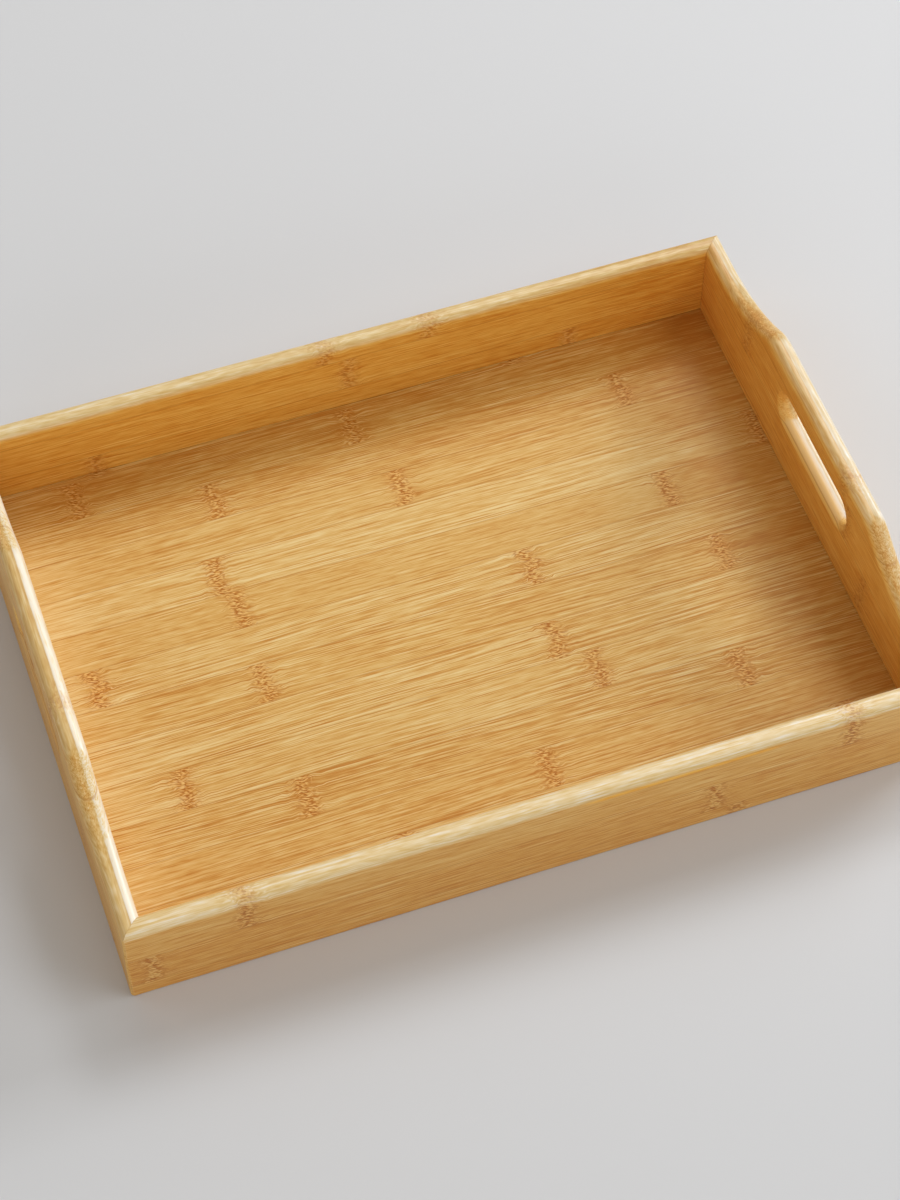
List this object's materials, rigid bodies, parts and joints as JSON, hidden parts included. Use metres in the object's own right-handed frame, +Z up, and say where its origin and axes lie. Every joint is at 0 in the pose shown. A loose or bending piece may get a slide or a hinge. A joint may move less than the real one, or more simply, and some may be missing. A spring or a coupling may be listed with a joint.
{
  "type": "serving tray",
  "caption": "Rectangular bamboo serving tray with level rails, raised handle ends with rounded hand slots, and a let-in base panel.",
  "frame": {"origin": "middle of the footprint, on the surface that the tray stands on", "axes": "+X along the tray towards the right handle end, +Y across it towards the back rail, +Z up"},
  "size_m": [0.38, 0.28, 0.0695],
  "materials": {
    "rail_bamboo": "clear satin lacquer on carbonised bamboo board, grain along the rail",
    "handle_bamboo": "clear satin lacquer on carbonised bamboo board, grain along the wall, speckled where the edge is cut across it",
    "base_bamboo": "clear satin lacquer on edge-glued bamboo strips with darker nodes",
    "spline_bamboo": "bare bamboo, hidden in the joint"
  },
  "bodies": {
    "root": {"front_rail": "rail_bamboo", "back_rail": "rail_bamboo", "left_handle_end": "handle_bamboo", "right_handle_end": "handle_bamboo", "base_panel": "base_bamboo", "spline_front_left": "spline_bamboo", "spline_front_right": "spline_bamboo", "spline_back_left": "spline_bamboo", "spline_back_right": "spline_bamboo"}
  },
  "joints": []
}
